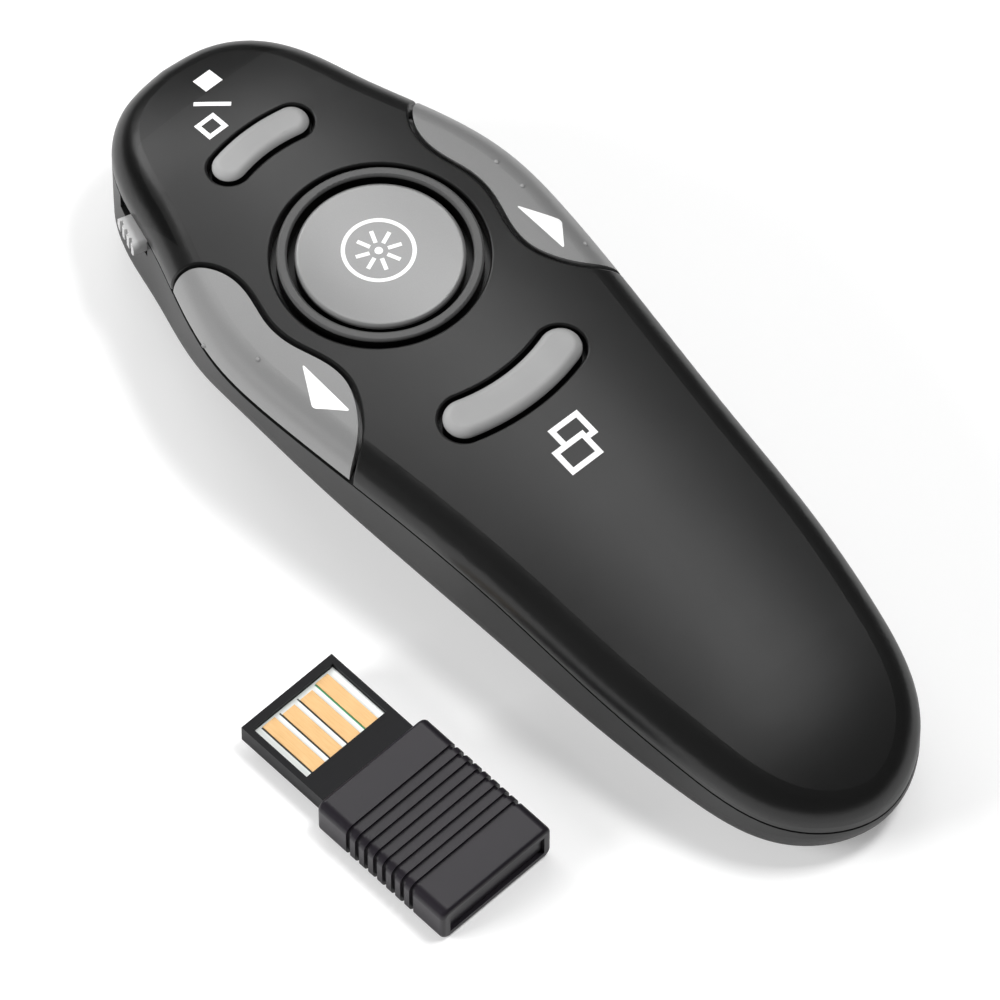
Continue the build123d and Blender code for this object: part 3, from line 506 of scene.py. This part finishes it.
# ------------------------------------------------------------------ strokes, in millimetres
def place(bm, verts, width=1.0, height=1.0, turn=0.0, center=(0, 0)):
    """Size, turn and move flat vertices, and take them from millimetres to metres."""
    move = Matrix.Translation((center[0] * MM, center[1] * MM, 0))
    size = Matrix.Diagonal((width * MM, height * MM, 1, 1))
    bmesh.ops.transform(bm, matrix=move @ Matrix.Rotation(turn, 4, "Z") @ size, verts=verts)


def hollow(bm, face, line):
    """Leave only an outline of a flat face, line wide."""
    bmesh.ops.inset_individual(bm, faces=[face], thickness=line * MM, use_even_offset=True)
    bmesh.ops.delete(bm, geom=[face], context="FACES")


def rectangle(bm, center, width, height, turn=0.0):
    """A filled rectangle; gives back its face."""
    made = bmesh.ops.create_grid(bm, x_segments=1, y_segments=1, size=0.5)
    place(bm, made["verts"], width, height, turn, center)
    return made["verts"][0].link_faces[0]


def bar(bm, start, end, width):
    """A straight stroke from start to end."""
    start, end = Vector(start), Vector(end)
    along = end - start
    rectangle(bm, (start + end) / 2, along.length, width, along.angle_signed(Vector((1, 0))))


def disc(bm, center, radius, steps=24):
    """A filled circle; gives back its face."""
    made = bmesh.ops.create_circle(bm, cap_ends=True, segments=steps, radius=radius)
    place(bm, made["verts"], center=center)
    return made["verts"][0].link_faces[0]


def polygon(bm, corners):
    """A filled outline; gives back its corners."""
    verts = [bm.verts.new((x * MM, y * MM, 0)) for x, y in corners]
    bm.faces.new(verts)
    return verts


def triangle(bm, corners, rounding):
    """A filled triangle with rounded corners."""
    bmesh.ops.bevel(
        bm, geom=polygon(bm, corners), offset=rounding * MM, segments=corner_steps,
        profile=0.5, affect="VERTICES", material=-1,
    )


# ------------------------------------------------------------------ printed marks
def cut_fine(bm):
    """Cut flat faces along a fine square grid, so that they can bend."""
    for axis, direction in enumerate((Vector((1, 0, 0)), Vector((0, 1, 0)))):
        low = min(v.co[axis] for v in bm.verts)
        high = max(v.co[axis] for v in bm.verts)
        for i in range(1, int((high - low) / ink_pitch) + 1):
            geom = bm.verts[:] + bm.edges[:] + bm.faces[:]
            cut = direction * (low + i * ink_pitch)
            bmesh.ops.bisect_plane(bm, geom=geom, plane_co=cut, plane_no=direction)


def printed(name, node, draw):
    """A mark drawn flat by draw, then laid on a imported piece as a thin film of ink."""
    bm = bmesh.new()
    draw(bm)
    cut_fine(bm)
    for vert in bm.verts:
        vert.co.z = on_top(node, vert.co.x, vert.co.y).z + ink_thickness
    for face in bm.faces:
        face.normal_update()
        if face.normal.z < 0:
            face.normal_flip()
    bmesh.ops.solidify(bm, geom=bm.faces[:], thickness=ink_thickness + ink_depth)
    return finished(name, bm, ink, body_of(node))


def black_screen_mark(bm):
    """A filled square, a slash and an open square."""
    rectangle(bm, (1.58, 47.45), 2.15, 2.0)
    bar(bm, (-1.42, 46.1), (1.18, 43.45), 0.5)
    hollow(bm, rectangle(bm, (-2.03, 42.7), 2.45, 2.35), 0.5)


def window_mark(bm):
    """Two overlapping window outlines; the farther one stops behind the nearer one."""
    hollow(bm, rectangle(bm, (-0.35, -9.27), 4.0, 3.1), 0.6)
    polygon(bm, [
        (-1.07, -7.7), (-1.07, -5.7), (2.69, -5.7), (2.69, -8.85), (1.67, -8.85),
        (1.67, -8.25), (2.09, -8.25), (2.09, -6.3), (-0.47, -6.3), (-0.47, -7.7),
    ])


def spark_mark(bm):
    """Rays round a dot, in a thin ring."""
    center = Vector((0.3, 20.5))
    line = dot = 0.42
    ray_start, ray_end, ring = 0.95, 2.35, 3.7
    rays = 8
    hollow(bm, disc(bm, center, ring, steps=64), line)
    disc(bm, center, dot)
    for i in range(rays):
        turn = (i + 0.5) * 2 * pi / rays
        along = Vector((cos(turn), sin(turn)))
        bar(bm, center + ray_start * along, center + ray_end * along, line)


def next_mark(bm):
    triangle(bm, [(13.9, 15.8), (16.3, 11.75), (14.15, 8.95)], 0.4)


def previous_mark(bm):
    triangle(bm, [(-13.76, 15.7), (-16.2, 11.4), (-13.75, 8.55)], 0.4)


printed("black_screen_mark", "top_shell", black_screen_mark)
printed("window_mark", "top_shell", window_mark)
printed("laser_mark", "laser_button", spark_mark)
printed("next_mark", "next_button", next_mark)
printed("previous_mark", "previous_button", previous_mark)


# ------------------------------------------------------------------ raised dots
def raised_dots(name, node, places):
    """Small domes for the fingertip, moulded on a side button."""
    bm = bmesh.new()
    for x, y in places:
        made = bmesh.ops.create_uvsphere(bm, u_segments=16, v_segments=8, radius=dot_radius)
        flat = Matrix.Diagonal((1, 1, dot_rise / dot_radius, 1))
        seat = Matrix.Translation(on_top(node, x * MM, y * MM))
        bmesh.ops.transform(bm, matrix=seat @ flat, verts=made["verts"])
    return finished(name, bm, side_silver, body_of(node))


raised_dots("next_dots", "next_button", [(16.0, 21.0), (16.0, 17.2), (16.3, 8.3)])
raised_dots("previous_dots", "previous_button", [(-16.4, 19.1), (-18.2, 25.1)])


# ------------------------------------------------------------------ floor
def floor_white(glow):
    """White card; a glow seen only by the eye carries it to full white and leaves the shadow."""
    finish = Finish("floor_white", "e4e4e4", 0.9, Specular_IOR_Level=0.0)
    direct = finish.node("ShaderNodeLightPath", output="Is Camera Ray")
    through = finish.node("ShaderNodeLightPath", output="Is Transmission Ray")
    seen = finish.node("ShaderNodeMath", {"operation": "MINIMUM"}, {0: direct + through, 1: 1.0})
    glowing = finish.blend(seen, (0, 0, 0, 1), (glow, glow, glow, 1))
    finish.join(glowing, finish.shader.inputs["Emission Color"])
    finish.shader.inputs["Emission Strength"].default_value = 1.0
    return finish.material


floor_bm = bmesh.new()
bmesh.ops.create_grid(floor_bm, x_segments=1, y_segments=1, size=floor_reach)
bmesh.ops.translate(floor_bm, verts=floor_bm.verts[:], vec=(0, 0, cad_box[0].z - floor_drop))
floor = mesh_object("floor", floor_bm, floor_white(floor_glow))


# ------------------------------------------------------------------ camera
forward = Vector((sin(view_heading), cos(view_heading), 0))
right = Vector((cos(view_heading), -sin(view_heading), 0))
looking = forward * cos(view_drop) - UP * sin(view_drop)
picture_up = forward * sin(view_drop) + UP * cos(view_drop)
button_top = Vector((0, button_y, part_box("button_bezel")[1].z))
from_middle = (button_pixel[0] - image_size / 2, image_size / 2 - button_pixel[1])
target = button_top - (right * from_middle[0] + picture_up * from_middle[1]) / picture_scale
camera_data = bpy.data.cameras.new("camera")
camera_data.sensor_width = sensor_width
camera_data.lens = sensor_width * camera_distance * picture_scale / image_size
camera_data.clip_start = 0.01
camera = bpy.data.objects.new("camera", camera_data)
camera.location = target - looking * camera_distance
camera.rotation_euler = looking.to_track_quat("-Z", "Y").to_euler()
bpy.context.scene.collection.objects.link(camera)
bpy.context.scene.camera = camera


# ------------------------------------------------------------------ lamps and surroundings
def softbox(name, direction, distance, width, height, brightness, up=UP, glossy=True):
    """A rectangular lamp aimed at the clicker; brightness is its radiance."""
    data = bpy.data.lights.new(name, "AREA")
    data.shape = "RECTANGLE"
    data.size = width
    data.size_y = height
    data.energy = brightness * pi * width * height
    lamp = bpy.data.objects.new(name, data)
    direction = Vector(direction).normalized()
    lamp.location = lamp_aim + direction * distance
    side = Vector(up).cross(direction).normalized()
    turned = Matrix((side, direction.cross(side), direction)).transposed()
    lamp.rotation_euler = turned.to_euler()
    lamp.visible_glossy = glossy
    lamp.visible_camera = False
    bpy.context.scene.collection.objects.link(lamp)


softbox(
    "strip", direction=(0.345, 0.24, 0.85), distance=0.8, width=0.14, height=0.9,
    brightness=3.9, up=(0.14, 0.99, 0),
)
softbox(
    "head", direction=(0.05, 0.77, 0.61), distance=0.8, width=0.3, height=0.3,
    brightness=3.8, up=(0, 1, 0),
)
softbox(
    "sky", direction=(0.14, 0.36, 0.92), distance=0.8, width=0.14, height=0.3,
    brightness=2.0, up=(0, 1, 0),
)
softbox(
    "side", direction=(0.26, -0.2, 0.95), distance=0.9, width=0.2, height=0.2,
    brightness=32, glossy=False,
)
softbox(
    "left", direction=(-0.8, 0.4, 0.4), distance=0.9, width=0.5, height=0.3,
    brightness=17, glossy=False,
)

world = bpy.data.worlds.new("studio")
world.use_nodes = True
bpy.context.scene.world = world
nodes, links = world.node_tree.nodes, world.node_tree.links
path = nodes.new("ShaderNodeLightPath")


def for_ray(ray, strength):
    """A mix that gives one kind of ray this strength, and the others its input A."""
    mix = nodes.new("ShaderNodeMix")
    mix.inputs["B"].default_value = strength
    links.new(path.outputs[ray], mix.inputs["Factor"])
    return mix


mirrored = for_ray("Is Glossy Ray", mirrored_light)
mirrored.inputs["A"].default_value = fill_light
viewed = for_ray("Is Camera Ray", 1.0)
links.new(mirrored.outputs["Result"], viewed.inputs["A"])
background = nodes["Background"]
background.inputs["Color"].default_value = (1, 1, 1, 1)
links.new(viewed.outputs["Result"], background.inputs["Strength"])

bpy.context.scene.view_settings.view_transform = "Standard"
